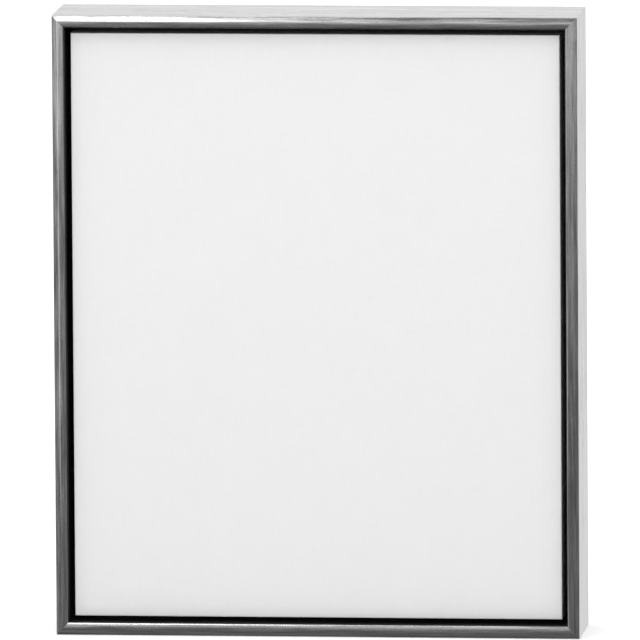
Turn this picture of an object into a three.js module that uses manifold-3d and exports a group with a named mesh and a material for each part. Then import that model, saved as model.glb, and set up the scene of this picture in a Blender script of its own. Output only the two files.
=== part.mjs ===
// A floating frame: mitred L-section rails in silver leaf, with a stretched canvas standing free inside them.
// Millimetres, +Z up. The frame faces -Y and stands on its bottom rail at z = 0, centred on x = 0, y = 0.
import * as THREE from "three";
import { mergeVertices } from "three/addons/utils/BufferGeometryUtils.js";
import Module from "manifold-3d";

const wasm = await Module();
wasm.setup();

// ---- driving dimensions ----
const CANVAS = { width: 254, height: 304.8, depth: 38.1 }; // a 10 x 12 inch gallery canvas
const FLOAT_GAP = 3; // the shadow gap round the canvas
const FACE = 6.5; // the width of a rail's front face
const BAND = { width: 2.9, fall: 14 }; // the face's outer part, which falls away by this many degrees
const RECESS = 5; // how far the canvas face sits behind the frame's front
const DEPTH = 54; // the frame, front to back
const FOOT = { width: 22, thickness: 10.5 }; // the rail's inward foot at the back, from the outer side
const ROUNDING = { outer: 0.6, inner: 1.2, back: 0.8 }; // the rail's long edges

const FIT = 0.3; // clearance between two pieces that touch
const MITRE_FIT = FIT / 2; // how far each mitred end stops short of the mitre plane

const CLOTH = { thickness: 0.6, hem: 24 };
const BAR = { width: 30, lip: 4, slope: 3, rounding: 1.5 }; // the face falls away by slope behind its lip
const TONGUE = { from: 5, width: 10, end: 6, thickness: 4, levels: [13, 20] }; // end: the wood left past it
const KEY = { length: 30, inside: 14, wide: 10, narrow: 4, thickness: 3, levels: [28, 35] };
const V_NAIL = { arm: 5, thickness: 0.8, depth: 7, insets: [2.4, 12] };

const CANVAS_SCREW = { shank: 1.75, head: 3.6, headHeight: 2.4, length: 22 }; // flat heads, sunk in the foot
const CANVAS_SCREW_INSET = 16; // from the rail's outer side
const HANGER_SCREW = { shank: 1.6, head: 3.2, headHeight: 2, length: 9.5 }; // pan heads
const POINT = 4; // the length of a screw's point
const CROSS = { reach: 1.9, width: 0.7, depth: 1.2 }; // the cross recess in a screw's head

const STRAP = { width: 9.5, thickness: 1.4, length: 26, hole: 2, holeAt: 20, loop: 2.2, bore: 1.4 };
const RING = { wire: 1.1, half: 8, corner: 2.6, drop: 14.2, tilt: 3 }; // on the wire's centre line, degrees
const HANGER_HEIGHT = 2 / 3; // the rings' axis, as a share of the frame's height
const BUMPER = { radius: 5, height: 3, z: 32 };

const ROUND = 16; // sides of a round hole or shaft

// ---- derived sizes ----
// Depths t run backward from the frame's front plane; insets u run inward from a rail's outer side.
const WIDTH = CANVAS.width + 2 * (FLOAT_GAP + FACE);
const HEIGHT = CANVAS.height + 2 * (FLOAT_GAP + FACE);
const AXIS_OFF = STRAP.loop + FIT; // the ring's axis, behind the frame's back
const TOTAL_DEPTH = DEPTH + AXIS_OFF + STRAP.loop;
const CANVAS_INSET = FACE + FLOAT_GAP;
const CANVAS_BACK = RECESS + CANVAS.depth;
const BAR_SKIN = CLOTH.thickness + FIT; // from the canvas's outer surface to a stretcher bar
const BAR_INSET = CANVAS_INSET + BAR_SKIN;
const BAR_FRONT = RECESS + BAR_SKIN;
const BAR_BACK = CANVAS_BACK - BAR_SKIN;
const HANGER_INSET = FOOT.width / 2;

// Sides and corners run clockwise from the top as seen from the front, each a quarter turn about +Y on.
const SIDES = ["top", "right", "bottom", "left"];
const CORNERS = ["top_right", "bottom_right", "bottom_left", "top_left"];
const quarter = (turns) => (turns * Math.PI) / 2;
const lengthOf = (side) => (side % 2 ? HEIGHT : WIDTH);
const halfOf = (side) => (side % 2 ? WIDTH : HEIGHT) / 2; // from the frame's middle to that side

// ---- materials ----
function paint(color, roughness, metalness) {
  return new THREE.MeshStandardMaterial({ color, roughness, metalness });
}

const SILVER_LEAF = paint(0xb4b4b4, 0.35, 0.9);
const PINE = paint(0xd9b98a, 0.65, 0);
const BEECH = paint(0xc79a63, 0.6, 0);
const WHITE_CANVAS = paint(0xefefed, 0.9, 0);
const ZINC = paint(0xb9bcc0, 0.35, 0.9);
const STEEL = paint(0x8d8f92, 0.45, 0.9);
const RUBBER = paint(0x2a2a2c, 0.85, 0);

// ---- solids ----
// A closed three.js geometry as a manifold solid.
function solid(geometry) {
  const bare = geometry.clone();
  bare.deleteAttribute("normal");
  bare.deleteAttribute("uv");
  const merged = mergeVertices(bare, 1e-4);
  const vertProperties = merged.attributes.position.array;
  const triVerts = new Uint32Array(merged.index.array);
  return new wasm.Manifold(new wasm.Mesh({ numProp: 3, vertProperties, triVerts }));
}

// A manifold solid as a three.js geometry.
function geometryOf(made) {
  const { vertProperties, triVerts } = made.getMesh();
  return new THREE.BufferGeometry()
    .setAttribute("position", new THREE.BufferAttribute(vertProperties, 3))
    .setIndex(new THREE.BufferAttribute(triVerts, 1));
}

const cutFrom = (body, cutters) => cutters.reduce((left, cutter) => left.subtract(solid(cutter)), body);

function box(low, high) {
  const size = high.map((v, i) => v - low[i]);
  const middle = high.map((v, i) => (v + low[i]) / 2);
  return new THREE.BoxGeometry(...size).translate(...middle);
}

// A round bar along +Y between two depths, through (x, z).
function rod(radius, from, to, x = 0, z = 0) {
  return new THREE.CylinderGeometry(radius, radius, to - from, ROUND).translate(x, (from + to) / 2, z);
}

// An outline in the plane of the frame, its x along +X and its y along +Z, as a plate between two depths.
function plate(outline, from, to, curveSegments = 6) {
  return new THREE.ExtrudeGeometry(outline, { depth: to - from, bevelEnabled: false, curveSegments })
    .rotateX(Math.PI / 2) // its y turns to +Z and its thickness to -Y
    .translate(0, to, 0);
}

const points = (pairs) => pairs.map(([x, y]) => new THREE.Vector2(x, y));
const polygon = (corners) => new THREE.Shape(points(corners));
const turned = (profile) => solid(new THREE.LatheGeometry(points(profile), ROUND)); // about +Y

// A bar along X with a section of (u, t) and both ends mitred at 45 degrees.
// length is that of its outer side, which lies at z = half.
function mitredBar(section, length, half, curveSegments) {
  const bar = new THREE.ExtrudeGeometry(section, { depth: 1, bevelEnabled: false, curveSegments });
  const at = bar.attributes.position;
  for (let i = 0; i < at.count; i++) {
    const [u, t] = [at.getX(i), at.getY(i)];
    const reach = length / 2 - u - MITRE_FIT;
    at.setXYZ(i, at.getZ(i) ? reach : -reach, t, half - u);
  }
  return bar;
}

// ---- rails ----
function railSection() {
  const { outer, inner, back } = ROUNDING;
  const fall = THREE.MathUtils.degToRad(BAND.fall);
  const sideFrom = (BAND.width - outer) * Math.tan(fall) + outer / Math.cos(fall);
  const s = new THREE.Shape();
  s.moveTo(BAND.width, 0);
  s.lineTo(FACE - inner, 0);
  s.absarc(FACE - inner, inner, inner, -Math.PI / 2, 0);
  s.lineTo(FACE, DEPTH - FOOT.thickness);
  s.lineTo(FOOT.width, DEPTH - FOOT.thickness);
  s.lineTo(FOOT.width, DEPTH);
  s.lineTo(back, DEPTH);
  s.lineTo(0, DEPTH - back);
  s.lineTo(0, sideFrom);
  s.absarc(outer, sideFrom, outer, Math.PI, 1.5 * Math.PI - fall);
  return s;
}

// A V-nail's outline at a top right corner: its point faces the corner and it has one arm in each rail.
function vNailOutline(inset, grow = 0) {
  const near = inset - grow;
  const inner = inset + V_NAIL.thickness + grow;
  const far = inset + V_NAIL.arm + grow;
  return polygon([
    [-near, -near],
    [-near, -far],
    [-inner, -far],
    [-inner, -inner],
    [-far, -inner],
    [-far, -near],
  ]);
}

// The places of the canvas screws along a rail, from its middle.
const screwsAlong = (length) => [-length / 4, length / 4];

function rail(length, half, hangerAt) {
  const cutters = [];
  for (const end of [1, -1]) {
    for (const inset of V_NAIL.insets) {
      const pocket = plate(vNailOutline(inset, FIT), DEPTH - V_NAIL.depth - FIT, DEPTH + 1);
      pocket.rotateY(end > 0 ? 0 : -Math.PI / 2).translate((end * length) / 2, 0, half);
      cutters.push(pocket);
    }
  }
  for (const x of screwsAlong(length)) {
    cutters.push(sunkHole(CANVAS_SCREW, DEPTH).translate(x, DEPTH, half - CANVAS_SCREW_INSET));
  }
  if (hangerAt) {
    const blindEnd = DEPTH - FOOT.thickness + 1;
    cutters.push(rod(HANGER_SCREW.shank + FIT, blindEnd, DEPTH + 1, hangerAt, half - HANGER_INSET));
  }
  return geometryOf(cutFrom(solid(mitredBar(railSection(), length, half, 5)), cutters));
}

// ---- stretched canvas ----
function barSection() {
  const { width, lip, slope, rounding } = BAR;
  const s = new THREE.Shape();
  s.moveTo(rounding, BAR_FRONT);
  s.lineTo(lip, BAR_FRONT);
  s.lineTo(width, BAR_FRONT + slope);
  s.lineTo(width, BAR_BACK);
  s.lineTo(0, BAR_BACK);
  s.lineTo(0, BAR_FRONT + rounding);
  s.absarc(rounding, BAR_FRONT + rounding, rounding, Math.PI, 1.5 * Math.PI);
  return s;
}

// A tongue at the stretcher's inside corner, as a box that runs along X, or upward from the next bar.
function tongue(level, end, inner, upward, grow = 0) {
  const half = TONGUE.thickness / 2 + grow;
  const across = [TONGUE.from - grow, TONGUE.from + TONGUE.width + grow];
  const along = [-grow, BAR.width - TONGUE.end + grow];
  const [xs, zs] = upward ? [across, along] : [along, across];
  const [left, right] = xs.map((x) => inner.x + end * x).sort((a, b) => a - b);
  return box([left, level - half, inner.z + zs[0]], [right, level + half, inner.z + zs[1]]);
}

// A top right corner's key, about the stretcher's inside corner: a wedge with its straight edge on the mitre.
// The first lies in the top bar and the second in the right one.
function cornerKey(n, grow = 0) {
  const side = n ? -1 : 1;
  const tail = KEY.inside - KEY.length - grow;
  const tip = KEY.inside + grow;
  const edge = side * (FIT - grow);
  const outline = polygon([
    [tail, edge],
    [tip, edge],
    [tip, side * (KEY.narrow + grow)],
    [tail, side * (KEY.wide + grow)],
  ]);
  const half = KEY.thickness / 2 + grow;
  return plate(outline, KEY.levels[n] - half, KEY.levels[n] + half).rotateY(-Math.PI / 4);
}

function stretcherBar(length, half) {
  const cutters = [];
  let bar = solid(mitredBar(barSection(), length, half, 4));
  for (const end of [1, -1]) {
    const inner = { x: end * (length / 2 - BAR.width), z: half - BAR.width };
    const [own, other] = end > 0 ? TONGUE.levels : [...TONGUE.levels].reverse();
    bar = bar.add(solid(tongue(own, end, inner, false)));
    cutters.push(tongue(other, end, inner, true, FIT));
    for (const n of [0, 1]) {
      const turn = end > 0 ? 0 : -Math.PI / 2;
      cutters.push(cornerKey(n, FIT).rotateY(turn).translate(inner.x, 0, inner.z));
    }
  }
  const z = half + BAR_INSET - CANVAS_SCREW_INSET;
  const pilotEnd = DEPTH - CANVAS_SCREW.length - 1;
  for (const x of screwsAlong(length + 2 * BAR_INSET)) {
    cutters.push(rod(CANVAS_SCREW.shank + FIT, pilotEnd, BAR_BACK + 1, x, z));
  }
  return geometryOf(cutFrom(bar, cutters));
}

// The cloth: its face, its four sides and the hem that is turned onto the stretcher's back.
function canvasCloth() {
  const { thickness, hem } = CLOTH;
  const [w, h] = [CANVAS.width / 2, CANVAS.height / 2];
  const hemFront = CANVAS_BACK - thickness;
  const block = solid(box([-w, RECESS, -h], [w, CANVAS_BACK, h]));
  const cutters = [
    box([thickness - w, RECESS + thickness, thickness - h], [w - thickness, hemFront, h - thickness]),
    box([hem - w, hemFront - 1, hem - h], [w - hem, CANVAS_BACK + 1, h - hem]),
  ];
  SIDES.forEach((_, side) => {
    const z = halfOf(side) - CANVAS_SCREW_INSET;
    for (const x of screwsAlong(lengthOf(side))) {
      const hole = rod(CANVAS_SCREW.shank + FIT, hemFront - 1, CANVAS_BACK + 1, x, z);
      cutters.push(hole.rotateY(quarter(side)));
    }
  });
  return geometryOf(cutFrom(block, cutters));
}

// ---- fasteners and hardware ----
// Screws lie along Y with the point at -Y. A pan head stands on y = 0 and a flat head is sunk to y = 0.
function panScrew({ shank, head, headHeight, length }) {
  const profile = [
    [0, -length],
    [shank, POINT - length],
    [shank, 0],
    [head, 0],
    [head, headHeight * 0.45],
    [head * 0.8, headHeight * 0.85],
    [head * 0.4, headHeight],
  ];
  return screw(profile, headHeight);
}

function flatScrew({ shank, head, headHeight, length }) {
  const profile = [
    [0, -length],
    [shank, POINT - length],
    [shank, -headHeight],
    [head, -FIT],
    [head, 0],
  ];
  return screw(profile, 0);
}

// A screw with this side profile and a cross recess in its top.
function screw(profile, top) {
  const { reach, width, depth } = CROSS;
  const slot = (x, z) => box([-x, top - depth, -z], [x, top + 1, z]);
  const cross = [slot(reach, width / 2), slot(width / 2, reach)];
  return geometryOf(cutFrom(turned([...profile, [0, top]]), cross));
}

// The hole round a flat-headed screw, to a depth below y = 0.
function sunkHole({ shank, head, headHeight }, depth) {
  return new THREE.LatheGeometry(
    points([
      [0, -depth],
      [shank + FIT, -depth],
      [shank + FIT, -headHeight - FIT],
      [head + FIT, -FIT],
      [head + FIT, 1],
      [0, 1],
    ]),
    ROUND,
  );
}

// A hanger's strap: a plate with a round end, rolled into a loop for the ring. Its origin is on the axis.
function hangerStrap() {
  const { width, thickness, length, loop, bore, hole, holeAt } = STRAP;
  const r = width / 2;
  const outline = new THREE.Shape();
  outline.moveTo(r, 0);
  outline.lineTo(-r, 0);
  outline.lineTo(-r, r - length);
  outline.absarc(0, r - length, r, Math.PI, 2 * Math.PI);
  const across = (r, along) => new THREE.CylinderGeometry(r, r, along, ROUND).rotateZ(Math.PI / 2);
  const flat = solid(plate(outline, -loop, thickness - loop, 8));
  const cutters = [across(bore, width + 2), rod(hole, -loop - 1, thickness - loop + 1, 0, -holeAt)];
  return geometryOf(cutFrom(flat.add(solid(across(loop, width))), cutters));
}

// A D-ring's centre line in the plane y = 0, hanging from the middle of its straight bar.
class RingLine extends THREE.Curve {
  constructor() {
    super();
    const { half, corner, drop } = RING;
    this.outline = new THREE.Path();
    this.outline.moveTo(0, 0);
    this.outline.lineTo(half - corner, 0);
    this.outline.absarc(half - corner, -corner, corner, Math.PI / 2, 0, true);
    this.outline.absellipse(0, -corner, half, drop - corner, 0, -Math.PI, true);
    this.outline.absarc(corner - half, -corner, corner, Math.PI, Math.PI / 2, true);
    this.outline.lineTo(0, 0);
  }

  getPoint(t) {
    const { x, y } = this.outline.getPoint(t);
    return new THREE.Vector3(x, 0, y);
  }
}

function hangerRing() {
  return geometryOf(solid(new THREE.TubeGeometry(new RingLine(), 44, RING.wire, 8, true)));
}

// A domed bumper whose flat side is at y = 0.
function wallBumper() {
  const { radius, height } = BUMPER;
  const profile = [
    [0, 0],
    [radius, 0],
    [radius, height * 0.4],
    [radius * 0.85, height * 0.75],
    [radius * 0.5, height * 0.96],
    [0, height],
  ];
  return geometryOf(turned(profile));
}

// ---- assembly ----
const frame = new THREE.Group(); // its origin is the middle of the frame's front plane
frame.position.set(0, -TOTAL_DEPTH / 2, HEIGHT / 2);

function place(group, name, geometry, material, x = 0, y = 0, z = 0) {
  const mesh = new THREE.Mesh(geometry, material);
  mesh.name = name;
  mesh.position.set(x, y, z);
  group.add(mesh);
  return mesh;
}

function turnedGroup(quarters) {
  const group = new THREE.Group();
  group.rotation.y = quarter(quarters);
  frame.add(group);
  return group;
}

// Each side is modelled as the top one and turned into place, and each corner as the top right one.
const hangerScrewAlong = HEIGHT / 2 - (HEIGHT * HANGER_HEIGHT - STRAP.holeAt);
SIDES.forEach((name, side) => {
  const [length, half] = [lengthOf(side), halfOf(side)];
  const hangerAt = { right: hangerScrewAlong, left: -hangerScrewAlong }[name];
  const group = turnedGroup(side);
  place(group, `rail_${name}`, rail(length, half, hangerAt), SILVER_LEAF);
  place(group, `stretcher_bar_${name}`, stretcherBar(length - 2 * BAR_INSET, half - BAR_INSET), PINE);
  screwsAlong(length).forEach((x, i) => {
    const z = half - CANVAS_SCREW_INSET;
    place(group, `canvas_screw_${name}_${i + 1}`, flatScrew(CANVAS_SCREW), ZINC, x, DEPTH, z);
  });
});
place(frame, "canvas_cloth", canvasCloth(), WHITE_CANVAS);

CORNERS.forEach((name, corner) => {
  const [x, z] = [lengthOf(corner) / 2, halfOf(corner)];
  const group = turnedGroup(corner);
  V_NAIL.insets.forEach((inset, n) => {
    const nail = plate(vNailOutline(inset), DEPTH - V_NAIL.depth, DEPTH);
    place(group, `v_nail_${name}_${["outer", "inner"][n]}`, nail, STEEL, x, 0, z);
  });
  const reach = BAR_INSET + BAR.width;
  for (const n of [0, 1]) {
    place(group, `corner_key_${name}_${n + 1}`, cornerKey(n), BEECH, x - reach, 0, z - reach);
  }
});

for (const [name, side] of [["left", -1], ["right", 1]]) {
  const x = side * (WIDTH / 2 - HANGER_INSET);
  const hanger = new THREE.Group(); // its origin is on the ring's axis
  hanger.position.set(x, DEPTH + AXIS_OFF, HEIGHT * (HANGER_HEIGHT - 1 / 2));
  frame.add(hanger);
  place(hanger, `hanger_strap_${name}`, hangerStrap(), ZINC);
  const ring = place(hanger, `hanger_ring_${name}`, hangerRing(), ZINC);
  ring.rotation.x = THREE.MathUtils.degToRad(RING.tilt); // its round end rests just off the strap
  const underHead = STRAP.thickness - STRAP.loop + FIT;
  place(hanger, `hanger_screw_${name}`, panScrew(HANGER_SCREW), ZINC, 0, underHead, -STRAP.holeAt);
  place(frame, `wall_bumper_${name}`, wallBumper(), RUBBER, x, DEPTH + FIT, BUMPER.z - HEIGHT / 2);
}

export default frame;
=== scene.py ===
"""The looks of a floating frame: a silver-leafed floater frame with a blank stretched canvas inside it.

Metres, +Z up. The frame faces -Y. Depths run backward from its front plane, and insets inward from its
outer sides.
"""

import math
from random import Random

import bmesh
import bpy
from mathutils import Matrix, Vector, noise


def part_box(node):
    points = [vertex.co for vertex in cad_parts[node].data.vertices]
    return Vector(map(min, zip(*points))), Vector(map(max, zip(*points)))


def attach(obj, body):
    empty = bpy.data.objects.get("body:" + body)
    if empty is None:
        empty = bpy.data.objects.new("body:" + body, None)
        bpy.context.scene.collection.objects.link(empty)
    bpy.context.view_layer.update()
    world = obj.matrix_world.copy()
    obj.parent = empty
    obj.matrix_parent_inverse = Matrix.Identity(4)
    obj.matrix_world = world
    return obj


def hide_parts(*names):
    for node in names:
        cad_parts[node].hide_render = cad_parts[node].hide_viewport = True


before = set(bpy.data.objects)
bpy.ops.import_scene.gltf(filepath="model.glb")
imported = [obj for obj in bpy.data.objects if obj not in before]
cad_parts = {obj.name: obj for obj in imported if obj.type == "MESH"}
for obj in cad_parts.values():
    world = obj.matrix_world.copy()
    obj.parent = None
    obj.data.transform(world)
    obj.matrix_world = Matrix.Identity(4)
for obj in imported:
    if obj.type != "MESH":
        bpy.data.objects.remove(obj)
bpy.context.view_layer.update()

MM = 0.001

# ---- sizes, from the frame ----
RAIL_LOW, RAIL_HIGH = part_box("rail_top")
FRONT, BACK = RAIL_LOW.y, RAIL_HIGH.y
HEIGHT = RAIL_HIGH.z
WIDTH = 2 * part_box("rail_right")[1].x
FOOT_WIDTH = RAIL_HIGH.z - RAIL_LOW.z
CLOTH_LOW, CLOTH_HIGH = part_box("canvas_cloth")
CANVAS_INSET = WIDTH / 2 - CLOTH_HIGH.x

FLOAT_GAP = 3 * MM
FACE = CANVAS_INSET - FLOAT_GAP
BAND = 2.9 * MM  # the face's outer part, which falls away to the side
BAND_FALL = math.radians(14)
CROWN_FALL = math.radians(10)  # how far the face's inner part has curved away by its inner edge
FOOT_THICKNESS = 10.5 * MM
DEPTH = BACK - FRONT
MITRE_GAP = 0.05 * MM  # what shows of the seam at each mitred end
HEM = 24 * MM  # of the canvas turned over the stretcher bars' backs

CANVAS_SHANK, CANVAS_HEAD, CANVAS_SINK, CANVAS_LENGTH = 1.75 * MM, 3.6 * MM, 2.4 * MM, 22 * MM  # flat heads
HANGER_SHANK, HANGER_HEAD, HANGER_RISE, HANGER_LENGTH = 1.6 * MM, 3.2 * MM, 2 * MM, 9.5 * MM  # pan heads
POINT = 4 * MM  # the length of a screw's point
CROSS_REACH, CROSS_WIDTH, CROSS_DEPTH = 1.9 * MM, 0.7 * MM, 1.2 * MM  # the recess in a screw's head
HOLE_CLEARANCE = 0.15 * MM

# Sides and corners run clockwise as seen from the front, each a quarter turn about +Y from the last.
SIDES = ["top", "right", "bottom", "left"]
CORNERS = ["top_right", "bottom_right", "bottom_left", "top_left"]
# Past the bottom rail's reach the black is painted shade, darkening the inner edge where the silver would
# reflect the white canvas.
PAINT_AND_SHADE_REACH = [0.56, 0.6, 0.38, 0.56]  # how far round each rail's inner edge the black goes: real black paint, and, where it reaches further on the top, right and left rails, painted shade


def side_turn(side):
    """Turns a side, built as the top one about the middle of the front plane, into its place."""
    return Matrix.Translation((0, FRONT, HEIGHT / 2)) @ Matrix.Rotation(side * math.pi / 2, 4, "Y")


def side_length(side):
    return HEIGHT if side % 2 else WIDTH


def side_half(side):
    return (WIDTH if side % 2 else HEIGHT) / 2


# ---- mesh helpers ----
def make(name, mesh, materials, body="frame", smooth=math.radians(35)):
    """An object of this bmesh, riding on a body, shaded smooth up to that angle."""
    data = bpy.data.meshes.new(name)
    bmesh.ops.recalc_face_normals(mesh, faces=mesh.faces)
    mesh.to_mesh(data)
    mesh.free()
    piece = bpy.data.objects.new(name, data)
    bpy.context.scene.collection.objects.link(piece)
    for material in materials:
        data.materials.append(material)
    shade(piece, smooth)
    if body:
        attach(piece, body)
    return piece


def shade(piece, angle):
    data = piece.data
    data.polygons.foreach_set("use_smooth", [True] * len(data.polygons))
    data.set_sharp_from_angle(angle=angle)


def arc(centre, radius, start, end, steps):
    """Points (u, t) along an arc, its angles in radians."""
    turns = [start + (end - start) * i / steps for i in range(steps + 1)]
    return [(centre[0] + radius * math.cos(a), centre[1] + radius * math.sin(a)) for a in turns]


def circle(steps):
    """The angles of a full turn's steps, in radians."""
    return [2 * math.pi * i / steps for i in range(steps)]


def lathe(profile, steps=48):
    """A turned solid about +Y from a profile of (radius, y) that starts and ends on the axis."""
    mesh = bmesh.new()
    rings = []
    for radius, y in profile:
        if radius == 0:
            rings.append([mesh.verts.new((0, y, 0))])
        else:
            turned = [(radius * math.cos(a), y, radius * math.sin(a)) for a in circle(steps)]
            rings.append([mesh.verts.new(point) for point in turned])
    for low, high in zip(rings, rings[1:]):
        for i in range(steps):
            j = i + 1
            corners = [low[i % len(low)], low[j % len(low)], high[j % len(high)], high[i % len(high)]]
            mesh.faces.new(list(dict.fromkeys(corners)))
    return mesh


def prism(outline, low, high, mesh=None):
    """A plate of this outline of (x, z) between two depths y."""
    mesh = mesh or bmesh.new()
    near, far = [[mesh.verts.new((x, y, z)) for x, z in outline] for y in (low, high)]
    mesh.faces.new(near)
    mesh.faces.new(far)
    count = len(outline)
    for i in range(count):
        j = (i + 1) % count
        mesh.faces.new([near[i], near[j], far[j], far[i]])
    return mesh


def cut(piece, cutters):
    """Cuts each cutter mesh out of the piece, the new faces taking the piece's last material."""
    for mesh in cutters:
        bmesh.ops.recalc_face_normals(mesh, faces=mesh.faces)
        for face in mesh.faces:
            face.material_index = max(len(piece.data.materials) - 1, 0)
        data = bpy.data.meshes.new("cutter")
        mesh.to_mesh(data)
        mesh.free()
        cutter = bpy.data.objects.new("cutter", data)
        bpy.context.scene.collection.objects.link(cutter)
        boolean = piece.modifiers.new("cut", "BOOLEAN")
        boolean.operation = "DIFFERENCE"
        boolean.solver = "EXACT"
        boolean.object = cutter
        apply_modifiers(piece)
        bpy.data.objects.remove(cutter)


def apply_modifiers(piece):
    evaluated = piece.evaluated_get(bpy.context.evaluated_depsgraph_get())
    data = bpy.data.meshes.new_from_object(evaluated)
    piece.modifiers.clear()
    piece.data = data


def bevel(piece, width):
    """Rounds a piece's sharp edges, without changing its own mesh."""
    rounding = piece.modifiers.new("rounding", "BEVEL")
    rounding.width = width
    rounding.segments = 2
    rounding.limit_method = "ANGLE"
    rounding.angle_limit = math.radians(35)
    rounding.harden_normals = True


# ---- material helpers ----
class Nodes:
    """The node tree of a material or world, with short calls for the nodes used here."""

    def __init__(self, owner, shader="Principled BSDF"):
        owner.use_nodes = True
        self.owner = owner
        self.tree = owner.node_tree
        self.shader = self.tree.nodes[shader]

    def add(self, kind, inputs=None, out=0, **settings):
        """Adds a node and returns its output. inputs are values or other outputs, by name or number."""
        made = self.tree.nodes.new("ShaderNode" + kind)
        for key, value in settings.items():
            setattr(made, key, value)
        for key, value in (inputs or {}).items():
            self.plug(value, made.inputs[key])
        return made.outputs[out]

    def plug(self, value, socket):
        if isinstance(value, bpy.types.NodeSocket):
            self.tree.links.new(value, socket)
        else:
            socket.default_value = value

    def place(self, scale=(1, 1, 1)):
        """The object's own coordinates in metres, times scale."""
        return self.add("Mapping", {"Vector": self.add("TexCoord", out="Object"), "Scale": scale})

    def split(self, vector):
        """A vector's x, y and z."""
        made = self.tree.nodes.new("ShaderNodeSeparateXYZ")
        self.plug(vector, made.inputs[0])
        return made.outputs

    def noise(self, place, scale=1.0, detail=3.0, roughness=0.5):
        inputs = {"Vector": place, "Scale": scale, "Detail": detail, "Roughness": roughness}
        return self.add("TexNoise", inputs)

    def ramp(self, value, low, high, to_low=0.0, to_high=1.0):
        """value between low and high, mapped to between to_low and to_high."""
        inputs = {"Value": value, "From Min": low, "From Max": high, "To Min": to_low, "To Max": to_high}
        return self.add("MapRange", inputs)

    def math(self, operation, a, b=0.0):
        return self.add("Math", {0: a, 1: b}, operation=operation)

    def mix(self, factor, a, b):
        """Mixes two colours, through the Mix node's colour sockets."""
        made = self.tree.nodes.new("ShaderNodeMix")
        made.data_type = "RGBA"
        for value, socket in ((factor, 0), (a, 6), (b, 7)):
            self.plug(value, made.inputs[socket])
        return made.outputs[2]

    def bump(self, height, distance, normal=None):
        inputs = {"Height": height, "Distance": distance}
        if normal is not None:
            inputs["Normal"] = normal
        return self.add("Bump", inputs)

    def finish(self, **inputs):
        """Sets the shader's inputs, underscores standing for spaces, and gives the material or world."""
        for key, value in inputs.items():
            self.plug(value, self.shader.inputs[key.replace("_", " ")])
        return self.owner


def paint(name):
    return Nodes(bpy.data.materials.new(name))


def grey(value):
    return (value, value, value, 1)


def darker(colour, share):
    return [c * share for c in colour[:3]] + [1]


def along(axis, lengthwise, across):
    """A scale that stretches a texture along X or Z."""
    return (lengthwise if axis == "X" else across, across, lengthwise if axis == "Z" else across)


# ---- materials ----
def silver_leaf(axis):
    """Silver leaf, burnished lengthwise along X or Z, streaked, and a little tarnished."""
    n = paint("silver_leaf_" + axis.lower())
    streaks = n.noise(n.place(along(axis, 30, 700)), detail=4, roughness=0.6)
    broad = n.noise(n.place(along(axis, 9, 190)), detail=3)
    brushing = n.noise(n.place(along(axis, 160, 5200)), detail=2)
    mottle = n.noise(n.place((55, 55, 55)), detail=5, roughness=0.65)
    tone = n.math("ADD", n.math("MULTIPLY", streaks, 0.78), n.math("MULTIPLY", broad, 0.22))
    metal = n.mix(n.ramp(tone, 0.36, 0.64), grey(0.47), grey(0.84))
    tarnish = n.ramp(mottle, 0.52, 0.74, 0, 0.35)
    metal = n.mix(tarnish, metal, (0.42, 0.41, 0.395, 1))
    rough = n.math("ADD", n.ramp(streaks, 0.3, 0.7, 0.15, 0.24), n.math("MULTIPLY", tarnish, 0.3))
    worn = n.bump(brushing, 0.006 * MM)
    worn = n.bump(streaks, 0.03 * MM, normal=worn)
    return n.finish(Base_Color=metal, Metallic=1.0, Roughness=rough, Normal=worn)


def black_paint():
    n = paint("black_paint")
    brushed = n.noise(n.place((260, 900, 260)), detail=4)
    colour = n.mix(n.ramp(brushed, 0.3, 0.7), grey(0.006), grey(0.018))
    return n.finish(
        Base_Color=colour,
        Roughness=n.ramp(brushed, 0.3, 0.7, 0.5, 0.75),
        Normal=n.bump(brushed, 0.03 * MM),
    )


def timber(name, axis, early, late, ring, fleck=0.0):
    """Planed wood with its grain along X or Z: growth rings, fibres, and the flecks of a hardwood."""
    n = paint(name)
    at = n.place(along(axis, 1.2, 12))
    bend = n.noise(at, scale=2.2, detail=2)
    bend = n.add("CombineXYZ", {0: bend, 1: bend, 2: bend})
    warped = n.add("VectorMath", {0: at, 1: bend}, operation="ADD")
    rings = n.add(
        "TexWave",
        {"Vector": warped, "Scale": ring, "Distortion": 2.2, "Detail": 3, "Detail Scale": 1.4},
        out="Fac",
        bands_direction="Y",
        wave_profile="SAW",
    )
    fibres = n.noise(n.place(along(axis, 45, 2600)), detail=4, roughness=0.6)
    colour = n.mix(n.ramp(rings, 0.1, 0.95), early, late)
    colour = n.mix(n.ramp(fibres, 0.35, 0.7, 0, 0.35), colour, darker(late, 0.62))
    if fleck:
        marks = n.noise(n.place(along(axis, 240, 1500)), detail=1)
        colour = n.mix(n.ramp(marks, 0.62, 0.7, 0, fleck), colour, darker(late, 0.4))
    return n.finish(
        Base_Color=colour,
        Roughness=n.ramp(fibres, 0.3, 0.7, 0.55, 0.75),
        Normal=n.bump(fibres, 0.06 * MM),
    )


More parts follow.
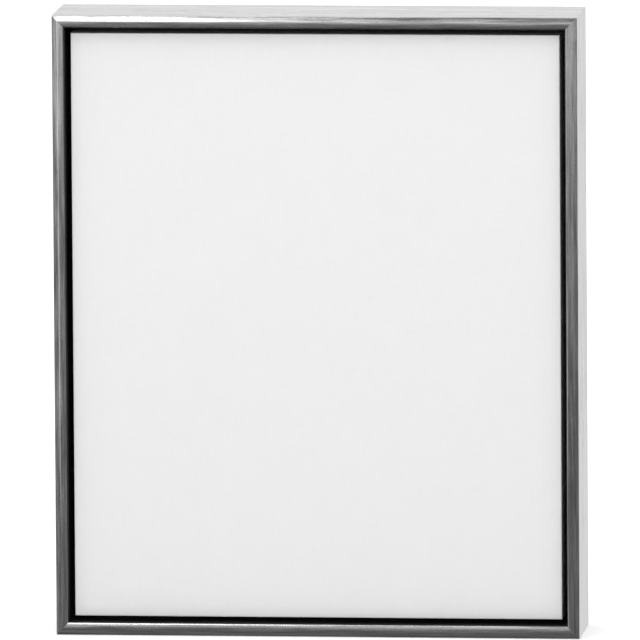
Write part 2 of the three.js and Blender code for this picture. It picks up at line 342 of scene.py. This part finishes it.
def woven(name, light, dark, relief):
    """Plain-woven canvas: threads over and under each other, uneven in thickness."""
    n = paint(name)
    pitch = 0.62 * MM
    at = n.place((math.pi / pitch, math.pi / pitch, math.pi / pitch))
    drift = n.noise(n.place((140, 140, 140)), detail=2)
    xyz = n.split(at)
    drift = n.math("MULTIPLY", drift, 2.5)
    warp, weft = [n.math("SINE", n.math("ADD", n.math("ADD", xyz[i], xyz[1]), drift)) for i in (0, 2)]
    weave = n.ramp(n.math("MULTIPLY", warp, weft), -1, 1)
    slubs = n.noise(n.place((90, 90, 1900)), detail=2)
    slubs = n.math("ADD", slubs, n.noise(n.place((1900, 90, 90)), detail=2))
    height = n.math("ADD", n.math("MULTIPLY", weave, 0.6), n.math("MULTIPLY", slubs, 0.4))
    patches = n.noise(n.place((24, 24, 24)), detail=4)
    colour = n.mix(n.ramp(height, 0.35, 0.95), dark, light)
    colour = n.mix(n.ramp(patches, 0.4, 0.7, 0, 0.12), colour, dark)
    return n.finish(
        Base_Color=colour,
        Roughness=n.ramp(patches, 0.3, 0.7, 0.78, 0.92),
        Sheen_Weight=0.08,
        Sheen_Roughness=0.6,
        Normal=n.bump(height, relief),
    )


def plated(name, low, high, rough, tint=0.0):
    """Bright plated steel, with faint rolling marks and the plating's uneven colour."""
    n = paint(name)
    cloud = n.noise(n.place((420, 420, 420)), detail=5, roughness=0.6)
    marks = n.noise(n.place((5200, 5200, 900)), detail=2)
    colour = n.mix(n.ramp(cloud, 0.35, 0.65), low, high)
    if tint:
        colour = n.mix(n.ramp(marks, 0.5, 0.75, 0, tint), colour, (0.55, 0.50, 0.36, 1))
    return n.finish(
        Base_Color=colour,
        Metallic=1.0,
        Roughness=n.ramp(cloud, 0.3, 0.7, rough, rough + 0.14),
        Normal=n.bump(marks, 0.01 * MM),
    )


def soft_rubber():
    n = paint("soft_rubber")
    grain = n.noise(n.place((2400, 2400, 2400)), detail=3)
    bloom = n.noise(n.place((180, 180, 180)), detail=4)
    return n.finish(
        Base_Color=n.mix(n.ramp(bloom, 0.4, 0.75), grey(0.022), grey(0.05)),
        Roughness=n.ramp(bloom, 0.3, 0.7, 0.62, 0.85),
        Normal=n.bump(grain, 0.02 * MM),
    )


SILVER = {axis: silver_leaf(axis) for axis in "XZ"}
BLACK = black_paint()
PINE_EARLY, PINE_LATE = (0.66, 0.46, 0.26, 1), (0.52, 0.30, 0.13, 1)
PINE = {axis: timber("pine_" + axis.lower(), axis, PINE_EARLY, PINE_LATE, 3.0) for axis in "XZ"}
BASS_EARLY, BASS_LATE = (0.60, 0.45, 0.29, 1), (0.50, 0.35, 0.20, 1)
BARE = {axis: timber("bare_moulding_" + axis.lower(), axis, BASS_EARLY, BASS_LATE, 2.2) for axis in "XZ"}
BEECH = timber("beech", "Z", (0.56, 0.35, 0.18, 1), (0.46, 0.26, 0.12, 1), 2.0, fleck=0.6)
PRIMED = woven("primed_canvas", grey(0.86), grey(0.80), 0.05 * MM)
RAW = woven("raw_canvas", (0.62, 0.54, 0.42, 1), (0.42, 0.35, 0.26, 1), 0.16 * MM)
ZINC = plated("zinc_plate", grey(0.52), (0.66, 0.67, 0.69, 1), 0.24)
SCREW = plated("screw_plate", (0.48, 0.47, 0.43, 1), (0.66, 0.64, 0.58, 1), 0.26, tint=0.5)
STEEL = plated("blued_steel", grey(0.12), grey(0.24), 0.38)
RUBBER = soft_rubber()


# ---- rails ----
def rail_section(side):
    """The rail's outline as points (inset, depth, paint). The paint is that of the stretch from there on:
    0 silver, 1 black, 2 bare wood."""
    inner, outer, back = 1.2 * MM, 0.6 * MM, 0.8 * MM  # the radii of the face's two edges and of the back's
    arris, eased = 2.4 * MM, 0.35 * MM  # those of the ridge between band and crown, and of the foot's edges
    foot = DEPTH - FOOT_THICKNESS
    side_from = (BAND - outer) * math.tan(BAND_FALL) + outer / math.cos(BAND_FALL)
    quarter = math.pi / 2
    outline = []

    def stretch(points, paint):
        outline.extend((u, t, paint) for u, t in points)

    ridge = BAND + arris * math.tan(BAND_FALL / 2)
    crown = (FACE - inner * (1 - math.sin(CROWN_FALL)) - ridge) / math.sin(CROWN_FALL)
    rounding = (FACE - inner, crown * (1 - math.cos(CROWN_FALL)) + inner * math.cos(CROWN_FALL))
    # The inner edge is black from the inner wall round to here: real paint, and past the bottom rail's
    # reach, painted shade over the edge's reflection.
    dark_to, crown_from = -PAINT_AND_SHADE_REACH[side] * quarter, CROWN_FALL - quarter
    stretch(arc(rounding, inner, 0, dark_to, 3), 1)
    outline[-1] = (*outline[-1][:2], 0)
    stretch(arc(rounding, inner, dark_to, crown_from, 5)[1:], 0)
    stretch(arc((ridge, crown), crown, crown_from, -quarter, 5)[1:], 0)
    stretch(arc((ridge, arris), arris, -quarter, -quarter - BAND_FALL, 5), 0)
    stretch(arc((outer, side_from), outer, 3 * quarter - BAND_FALL, 2 * quarter, 6), 0)
    side_steps, reach = 8, DEPTH - back - side_from
    stretch([(0, side_from + reach * i / side_steps) for i in range(1, side_steps)], 0)
    stretch(arc((back, DEPTH - back), back, 2 * quarter, quarter, 5), 0)
    outline[-1] = (back, DEPTH, 2)
    stretch(arc((FOOT_WIDTH - eased, DEPTH - eased), eased, quarter, 0, 3), 2)
    outline[-1] = (FOOT_WIDTH, DEPTH - eased, 1)
    stretch(arc((FOOT_WIDTH - eased, foot + eased), eased, 0, -quarter, 3), 1)
    inner_steps, reach = 6, foot - rounding[1]
    stretch([(FACE, foot - reach * i / inner_steps) for i in range(inner_steps)], 1)
    return outline


def rail_ripple(x, u, t, side):
    """The hand-finished moulding's slight hollows, as an inward shift of (u, t); none at the back."""
    height = 0.04 * MM * max(0.0, 1 - t / (0.9 * DEPTH))
    at = Vector((x / (34 * MM), u / (9 * MM) + 5 * side, t / (22 * MM)))
    elsewhere = at + Vector((0, 0, 31.7))
    return [height * (1 + noise.noise(place)) for place in (at, elsewhere)]


def rail(side):
    """One rail of the frame, mitred at both ends, with the holes for its fasteners."""
    name = SIDES[side]
    axis = "Z" if side % 2 else "X"
    length, half = side_length(side), side_half(side)
    section = rail_section(side)
    stations = 56
    mesh = bmesh.new()
    rings = []
    for i in range(stations + 1):
        share = 2 * i / stations - 1
        ring = []
        for u, t, _ in section:
            x = share * (length / 2 - u - MITRE_GAP)
            du, dt = rail_ripple(x, u, t, side)
            ring.append(mesh.verts.new((x, t + dt, half - u - du)))
        rings.append(ring)
    count = len(section)
    for low, high in zip(rings, rings[1:]):
        for j in range(count):
            k = (j + 1) % count
            mesh.faces.new([low[j], low[k], high[k], high[j]]).material_index = section[j][2]
    for ring in (rings[0], rings[-1]):
        mesh.faces.new(ring).material_index = 2
    piece = make("moulding_" + name, mesh, [SILVER[axis], BLACK, BARE[axis]], body=None)
    cut(piece, rail_cutters(side, length, half))
    piece.data.transform(side_turn(side))
    shade(piece, math.radians(35))
    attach(piece, "frame")
    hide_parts("rail_" + name)


def node_centre(name):
    low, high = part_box(name)
    return (low + high) / 2


def in_side(side, point):
    """The point as seen by a side that is built as the top one."""
    return side_turn(side).inverted() @ point


def hole(side, name, profile):
    """A turned cutter at a fastener's place in the foot's back."""
    mesh = lathe(profile, 40)
    at = in_side(side, node_centre(name))
    bmesh.ops.translate(mesh, vec=(at.x, DEPTH, at.z), verts=mesh.verts)
    return mesh


def canvas_screw_hole():
    """Through the foot, and sunk for a flat head."""
    clear, through, proud = HOLE_CLEARANCE, -20 * MM, 1 * MM
    shank, head, sink = CANVAS_SHANK + clear, CANVAS_HEAD + clear, CANVAS_SINK + clear
    return [(0, through), (shank, through), (shank, -sink), (head, -clear), (head, proud), (0, proud)]


def hanger_screw_hole():
    """Blind, with a drill's point."""
    radius, proud = HANGER_SHANK + HOLE_CLEARANCE, 1 * MM
    return [(0, -9 * MM), (radius, -8 * MM), (radius, proud), (0, proud)]


def rail_cutters(side, length, half):
    """The holes and slots in the foot, where the fasteners are."""
    name = SIDES[side]
    cutters = [hole(side, f"canvas_screw_{name}_{i}", canvas_screw_hole()) for i in (1, 2)]
    if side % 2:
        cutters.append(hole(side, "hanger_screw_" + name, hanger_screw_hole()))
    for end, corner in ((1, CORNERS[side]), (-1, CORNERS[side - 1])):
        for inset in ("outer", "inner"):
            low, high = [in_side(side, v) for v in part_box(f"v_nail_{corner}_{inset}")]
            near_x, near_z = length / 2 - max(abs(low.x), abs(high.x)), half - max(low.z, high.z)
            cutters.append(v_slot(near_x, near_z, end, length, half))
    return cutters


def v_slot(near_x, near_z, end, length, half):
    """The V-nail's slot: its two arms run along the rail's length and across it."""
    arm, thickness, depth, clear, proud = 5 * MM, 0.8 * MM, 7 * MM, HOLE_CLEARANCE, 1 * MM
    near, inner, far = -clear, thickness + clear, arm + clear
    corners = [(near, near), (near, far), (inner, far), (inner, inner), (far, inner), (far, near)]
    outline = [(end * (length / 2 - near_x - a), half - near_z - b) for a, b in corners]
    return prism(outline, DEPTH - depth - clear, DEPTH + proud)


for side in range(4):
    rail(side)


# ---- the stretched canvas ----
def stretched_canvas():
    """Primed canvas drawn over the bars: the front, four sides and a hem turned over the bars' backs."""
    across, down = 44, 52
    half_x, half_z = (CLOTH_HIGH.x - CLOTH_LOW.x) / 2, (CLOTH_HIGH.z - CLOTH_LOW.z) / 2
    depth = CLOTH_HIGH.y - CLOTH_LOW.y
    edge, turn = 0.55 * MM, 1.2 * MM
    mesh = bmesh.new()

    def vertex(i, j, inset, t):
        x, z = (2 * i / across - 1) * (half_x - inset), (2 * j / down - 1) * (half_z - inset)
        return mesh.verts.new((x, t, z))

    def sag(i, j):
        """The face's slight unevenness, none at its edges."""
        middle = min(i, across - i, j, down - j) / 6
        at = Vector((i / 9, j / 9, 4.2))
        return 0.12 * MM * min(middle, 1) * noise.noise(at)

    front = [[vertex(i, j, edge, sag(i, j)) for i in range(across + 1)] for j in range(down + 1)]
    for low, high in zip(front, front[1:]):
        for i in range(across):
            mesh.faces.new([low[i], low[i + 1], high[i + 1], high[i]])
    top = [(i, down) for i in range(across)]
    right = [(across, j) for j in range(down, 0, -1)]
    bottom = [(i, 0) for i in range(across, 0, -1)]
    left = [(0, j) for j in range(down)]
    border = top + right + bottom + left
    profile = arc((edge, edge), edge, -math.pi / 2, -math.pi, 4)[1:]
    rows = 14
    profile += [(0, edge + (depth - edge - turn) * k / rows) for k in range(1, rows)]
    profile += arc((turn, depth - turn), turn, math.pi, math.pi / 2, 3)
    loop = [front[j][i] for i, j in border]
    for inset, t in profile:
        following = [vertex(i, j, inset, t) for i, j in border]
        for k in range(len(border)):
            n = (k + 1) % len(border)
            mesh.faces.new([loop[k], loop[n], following[n], following[k]])
        loop = following
    starts = [0, across, across + down, 2 * across + down]
    for side, start in enumerate(starts):
        count = down if side % 2 else across
        edge_row = [loop[(start + k) % len(border)] for k in range(count + 1)]
        hem_flap(mesh, side, edge_row, half_x, half_z, depth, turn)
    bmesh.ops.translate(mesh, vec=(0, CLOTH_LOW.y, HEIGHT / 2), verts=mesh.verts)
    piece = make("stretched_canvas", mesh, [PRIMED, RAW], smooth=math.radians(50))
    thick = piece.modifiers.new("thickness", "SOLIDIFY")
    thick.thickness = 0.45 * MM
    thick.offset = -1
    thick.material_offset = 1
    thick.material_offset_rim = 1
    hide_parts("canvas_cloth")


def hem_flap(mesh, side, row, half_x, half_z, depth, turn):
    """One side's hem, from the row of vertices at the bar's back edge; the corners overlap as folded."""
    half_long, half_short = (half_z, half_x) if side % 2 else (half_x, half_z)
    count = len(row) - 1
    steps = 10
    under_foot = 13 * MM  # held flat by the rail's foot up to here
    overlap = -0.3 * MM if side % 2 else 3.5 * MM
    fray, waviness = 0.7 * MM, 0.35 * MM
    fold, fold_reach = 0 if side % 2 else 0.75 * MM, 14 * MM  # the top and bottom hems lie over the others
    turned = Matrix.Rotation(side * math.pi / 2, 4, "Y")
    for step in range(1, steps + 1):
        inset = turn + (HEM - turn) * step / steps
        free = max(0.0, (inset - under_foot) / (HEM - under_foot))
        following = []
        for k in range(count + 1):
            share = 2 * k / count - 1
            reach = half_long - inset + overlap * free
            x = share * reach
            frayed = fray * noise.noise(Vector((x / (11 * MM), side * 9.1, 2))) if step == steps else 0
            wave = noise.noise(Vector((x / (26 * MM), side * 7.7, inset / (20 * MM))))
            lift = fold * max(0.0, 1 - (1 - abs(share)) * reach / fold_reach)
            t = depth + free * (waviness * (wave + 0.5) + lift)
            following.append(mesh.verts.new(turned @ Vector((x, t, half_short - inset - frayed))))
        for k in range(count):
            mesh.faces.new([row[k], row[k + 1], following[k + 1], following[k]])
        row = following


def staples():
    """The staples that hold the hem, each a flat wire crown a little askew, as one piece."""
    random = Random(7)
    inset, along_top, along_side = 18 * MM, 9, 11
    clear_of_side, clear_of_top = 36 * MM, 24 * MM  # from a row's end to the canvas's corner
    crown, wire, height = 10 * MM, 1.2 * MM, 0.5 * MM
    leg_length, leg_middle, proud = 5 * MM, -2.4 * MM, 0.32 * MM
    mesh = bmesh.new()
    half_x, half_z = (CLOTH_HIGH.x - CLOTH_LOW.x) / 2, (CLOTH_HIGH.z - CLOTH_LOW.z) / 2
    for side in range(4):
        half_long, half_short = (half_z, half_x) if side % 2 else (half_x, half_z)
        count = along_side if side % 2 else along_top
        reach = half_long - (clear_of_side if side % 2 else clear_of_top)
        for k in range(count):
            x = (2 * k / (count - 1) - 1) * reach + random.uniform(-2, 2) * MM
            z = half_short - inset + random.uniform(-0.8, 0.8) * MM
            skew = math.radians(random.uniform(-7, 7))
            place = Matrix.Translation((0, CLOTH_HIGH.y + proud, HEIGHT / 2))
            place = place @ Matrix.Rotation(side * math.pi / 2, 4, "Y")
            place = place @ Matrix.Translation((x, 0, z)) @ Matrix.Rotation(skew, 4, "Y")
            size = Matrix.Diagonal((crown, height, wire, 1))
            bmesh.ops.create_cube(mesh, size=1, matrix=place @ size)
            for end in (-1, 1):
                leg = Matrix.Translation((end * (crown - wire) / 2, leg_middle, 0))
                size = Matrix.Diagonal((wire * 0.7, leg_length, wire * 0.9, 1))
                bmesh.ops.create_cube(mesh, size=1, matrix=place @ leg @ size)
    piece = make("hem_staples", mesh, [STEEL])
    bevel(piece, 0.18 * MM)


stretched_canvas()
staples()


# ---- wood and fasteners that keep their CAD shape, with eased edges ----
def refinish(name, material, easing):
    """Gives a CAD node its material and rounds its edges by easing."""
    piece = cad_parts[name]
    piece.data.materials.clear()
    piece.data.materials.append(material)
    bevel(piece, easing)


for side, name in enumerate(SIDES):
    refinish("stretcher_bar_" + name, PINE["Z" if side % 2 else "X"], 0.5 * MM)
for corner in CORNERS:
    for i in (1, 2):
        refinish(f"corner_key_{corner}_{i}", BEECH, 0.3 * MM)
    for inset in ("outer", "inner"):
        refinish(f"v_nail_{corner}_{inset}", STEEL, 0.12 * MM)


# ---- screws ----
def screw(name, profile, top):
    """A turned screw with a cross recess, its head's top at the CAD node's back."""
    low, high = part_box(name)
    piece = make(name + "_fine", lathe(profile), [SCREW], body=None)
    slots = [(CROSS_REACH, CROSS_WIDTH / 2), (CROSS_WIDTH / 2, CROSS_REACH)]
    outlines = [[(-x, -z), (x, -z), (x, z), (-x, z)] for x, z in slots]
    cut(piece, [prism(outline, top - CROSS_DEPTH, top + CROSS_DEPTH) for outline in outlines])
    turn = Matrix.Rotation(SCREW_TURNS.uniform(0, math.pi / 2), 4, "Y")
    middle = (low + high) / 2
    piece.data.transform(Matrix.Translation((middle.x, high.y - top, middle.z)) @ turn)
    shade(piece, math.radians(30))
    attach(piece, "frame")
    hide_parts(name)


def flat_head_profile():
    shank, head, edge = CANVAS_SHANK, CANVAS_HEAD, 0.2 * MM
    shaft = [(0, -CANVAS_LENGTH), (shank, POINT - CANVAS_LENGTH), (shank, -CANVAS_SINK)]
    rim = [(head - edge, -2 * edge), (head, -edge * 1.4), (head, -edge * 0.6), (head - edge, 0)]
    return shaft + rim + [(0, 0)]


def pan_head_profile():
    shank, head, rise = HANGER_SHANK, HANGER_HEAD, HANGER_RISE
    shaft = [(0, -HANGER_LENGTH), (shank, POINT - HANGER_LENGTH), (shank, 0)]
    turns = [math.pi / 2 * k / 8 for k in range(8)]
    dome = [(head * math.cos(a), rise * (0.3 + 0.7 * math.sin(a))) for a in turns]
    return shaft + [(head * 0.96, 0), (head, rise * 0.1)] + dome + [(0, rise)]


SCREW_TURNS = Random(11)
for name in SIDES:
    for i in (1, 2):
        screw(f"canvas_screw_{name}_{i}", flat_head_profile(), 0)


# ---- hanging hardware and bumpers ----
STRAP_WIDTH, STRAP_THICKNESS, STRAP_LENGTH = 9.5 * MM, 1.4 * MM, 26 * MM
LOOP, BORE = 2.2 * MM, 1.4 * MM  # the outer and inner radii of the loop round the ring's pin
RING_HALF, RING_CORNER, RING_DROP, WIRE = 8 * MM, 2.6 * MM, 14.2 * MM, 1.1 * MM  # on the wire's centre line
RING_TILT = math.radians(3)


def hanger_axis(name):
    """The D-ring's pivot."""
    low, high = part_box("hanger_strap_" + name)
    return Vector(((low.x + high.x) / 2, low.y + LOOP, high.z - LOOP))


def strap(name):
    """A strip folded double round the ring's wire, its round end screwed to the frame."""
    mesh = bmesh.new()
    r = STRAP_WIDTH / 2
    seam, shrink = 0.1 * MM, 0.25 * MM  # between the two layers, and how much smaller the outer one is
    middle = STRAP_THICKNESS / 2 - LOOP
    layers = [(0, -LOOP, middle - seam / 2), (shrink, middle + seam / 2, STRAP_THICKNESS - LOOP)]
    for less, near, far in layers:
        end = arc((0, r - STRAP_LENGTH + less), r - less, math.pi, 2 * math.pi, 28)
        prism([(r - less, 0), (less - r, 0)] + end, near, far, mesh)
    steps = 40
    loops = []
    for x in (-r, r):
        for radius in (LOOP, BORE):
            turned = [(x, radius * math.cos(a), radius * math.sin(a)) for a in circle(steps)]
            loops.append([mesh.verts.new(point) for point in turned])
    for a, b in ((0, 2), (1, 3), (0, 1), (2, 3)):
        for k in range(steps):
            n = (k + 1) % steps
            mesh.faces.new([loops[a][k], loops[a][n], loops[b][n], loops[b][k]])
    bmesh.ops.translate(mesh, vec=hanger_axis(name), verts=mesh.verts)
    piece = make(f"strap_{name}", mesh, [ZINC])
    bevel(piece, 0.18 * MM)
    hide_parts("hanger_strap_" + name)


def ring_line():
    """The D-ring's centre line as points (x, z): a straight bar, two tight corners and a half round."""
    half, corner, drop = RING_HALF, RING_CORNER, RING_DROP
    points = arc((half - corner, -corner), corner, math.pi / 2, 0, 8)
    turns = [-math.pi * k / 40 for k in range(1, 40)]
    points += [(half * math.cos(a), -corner + (drop - corner) * math.sin(a)) for a in turns]
    points += arc((corner - half, -corner), corner, math.pi, math.pi / 2, 8)
    return points


def ring(name):
    """A D-ring bent from round wire."""
    line = [Vector((x, 0, z)) for x, z in ring_line()]
    pin = Vector((0, 1, 0))
    mesh = bmesh.new()
    sides = 16
    rings = []
    for k, at in enumerate(line):
        forward = (line[(k + 1) % len(line)] - line[k - 1]).normalized()
        outward = forward.cross(pin)
        around = [math.cos(a) * outward + math.sin(a) * pin for a in circle(sides)]
        rings.append([mesh.verts.new(at + WIRE * v) for v in around])
    for k in range(len(rings)):
        low, high = rings[k - 1], rings[k]
        for i in range(sides):
            n = (i + 1) % sides
            mesh.faces.new([low[i], low[n], high[n], high[i]])
    place = Matrix.Translation(hanger_axis(name)) @ Matrix.Rotation(RING_TILT, 4, "X")
    bmesh.ops.transform(mesh, verts=mesh.verts, matrix=place)
    piece = make(f"d_ring_{name}", mesh, [ZINC], body=f"ring_{name}")
    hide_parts("hanger_ring_" + name)


def bumper(name):
    """A domed rubber button with a short straight flank."""
    low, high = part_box("wall_bumper_" + name)
    radius, height = (high.x - low.x) / 2, high.y - low.y
    straight = 0.22
    flank = [(radius * 0.97, 0), (radius, height * 0.06), (radius, height * straight)]
    turns = [math.pi / 2 * k / 10 for k in range(1, 10)]
    dome = [(radius * math.cos(a) ** 0.8, height * (straight + (1 - straight) * math.sin(a))) for a in turns]
    mesh = lathe([(0, 0)] + flank + dome + [(0, height)])
    middle = (low + high) / 2
    bmesh.ops.translate(mesh, vec=(middle.x, low.y, middle.z), verts=mesh.verts)
    piece = make(f"bumper_{name}", mesh, [RUBBER])
    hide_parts("wall_bumper_" + name)


for name in ("left", "right"):
    strap(name)
    ring(name)
    screw("hanger_screw_" + name, pan_head_profile(), HANGER_RISE)
    bumper(name)


# ---- camera, stage and light ----
def camera():
    """A long lens a little above the frame and to its right."""
    azimuth, elevation, roll = [math.radians(a) for a in (5.8, 7.4, -0.37)]
    distance, width_shown = 9.0, 0.3313
    shift_right, shift_up = 2.30 * MM, 3.95 * MM
    back = Vector((
        math.sin(azimuth) * math.cos(elevation),
        -math.cos(azimuth) * math.cos(elevation),
        math.sin(elevation),
    ))
    right = (-back).cross(Vector((0, 0, 1))).normalized()
    up = right.cross(-back)
    tilted_right = math.cos(roll) * right + math.sin(roll) * up
    tilted_up = math.cos(roll) * up - math.sin(roll) * right
    aim = Vector((0, FRONT, HEIGHT / 2)) + shift_right * tilted_right + shift_up * tilted_up
    data = bpy.data.cameras.new("camera")
    data.sensor_width = 36
    data.lens = data.sensor_width * distance / width_shown
    data.clip_end = 100
    made = bpy.data.objects.new("camera", data)
    bpy.context.scene.collection.objects.link(made)
    axes = Matrix((tilted_right, tilted_up, back)).transposed().to_4x4()
    made.matrix_world = Matrix.Translation(aim + back * distance) @ axes
    bpy.context.scene.camera = made


def area_light(name, place, target, size, power, glossy=True, diffuse=True):
    """A rectangular light at place that faces target, hidden from the camera."""
    data = bpy.data.lights.new(name, "AREA")
    data.shape = "RECTANGLE"
    data.size, data.size_y = size
    data.energy = power
    light = bpy.data.objects.new(name, data)
    light.location = place
    light.rotation_euler = (Vector(target) - Vector(place)).to_track_quat("-Z", "Y").to_euler()
    light.visible_camera = False
    light.visible_glossy = glossy
    light.visible_diffuse = diffuse
    bpy.context.scene.collection.objects.link(light)


def card(name, place, target, size, power):
    """A light that shows only in reflections."""
    area_light(name, place, target, size, power, diffuse=False)


def floor():
    half, clear_of_rail = 30, 0.2 * MM
    mesh = bmesh.new()
    bmesh.ops.create_grid(mesh, x_segments=1, y_segments=1, size=half)
    bmesh.ops.translate(mesh, vec=(0, 0, -clear_of_rail), verts=mesh.verts)
    piece = make("floor", mesh, [floor_paint()], body=None)
    piece.visible_glossy = False


def floor_paint():
    """A pale matt floor that glows a little, more so far away, to meet the white behind it."""
    n = paint("pale_floor")
    cloud = n.noise(n.place((3, 3, 3)), detail=3)
    away = n.add("VectorMath", {0: n.place()}, out="Value", operation="LENGTH")
    return n.finish(
        Base_Color=n.mix(cloud, grey(0.88), grey(0.90)),
        Roughness=0.9,
        Emission_Color=(1, 1, 1, 1),
        Emission_Strength=n.ramp(away, 0.5, 2.0, 0.36, 0.75),
    )


def sky():
    """A pale studio: white behind and above the frame, dim in front of it and dark below."""
    white, dim, shade_below = 0.88, 0.142, 0.7
    world = bpy.data.worlds.new("studio")
    bpy.context.scene.world = world
    n = Nodes(world, "Background")
    across, back, up = n.split(n.add("TexCoord", out="Generated"))
    behind = n.math("MULTIPLY", n.ramp(back, 0.2, 0.65), n.ramp(up, -0.3, 0.3, 0.71, 0.90))
    above = n.ramp(up, 0.5, 0.9, 0, 0.4)
    left = n.ramp(across, -0.6, -0.95, 0, 0.4)
    right = n.ramp(across, 0.8, 0.97, 0, 0.3)
    below = n.ramp(up, -0.62, -0.85)
    bright = n.math("MAXIMUM", n.math("MAXIMUM", behind, above), n.math("MAXIMUM", left, right))
    level = n.math("ADD", n.math("MULTIPLY", bright, white), dim)
    level = n.math("MULTIPLY", level, n.math("SUBTRACT", 1.0, n.math("MULTIPLY", below, shade_below)))
    n.finish(Strength=level, Color=(1, 1, 1, 1))


def lights():
    """Two soft lights for the cloth and the floor, and four cards for what the silver reflects."""
    middle = (0, FRONT, HEIGHT / 2)
    area_light("front_light", (-0.7, -3.4, 0.3), middle, (2.6, 2.0), 20, glossy=False)
    area_light("top_light", (0.0, -0.65, 2.6), (0, -0.1, 0), (2.6, 2.4), 50, glossy=False)
    # The streak on the top rail's outer band, and the bright line on the bottom rail's inner edge.
    card("streak_card", (-0.391, -0.638, 0.573), (-0.231, -0.168, 0.253), (0.56, 0.16), 1.05)
    card("line_card", (-0.50, -0.75, 1.55), (-0.16, FRONT, 0.0), (0.50, 1.0), 5.2)
    # A softer sheen on the left rail's outer band, and on the faces toward the top.
    card("side_card", (-0.29, -0.45, 0.235), (-0.13, FRONT, 0.185), (0.14, 0.46), 0.105)
    card("front_glow", (-0.1, -1.3, 0.48), (0.0, FRONT, 0.30), (2.2, 0.76), 2.4)


camera()
floor()
sky()
lights()
bpy.context.scene.view_settings.view_transform = "Standard"
bpy.context.scene.view_settings.look = "None"
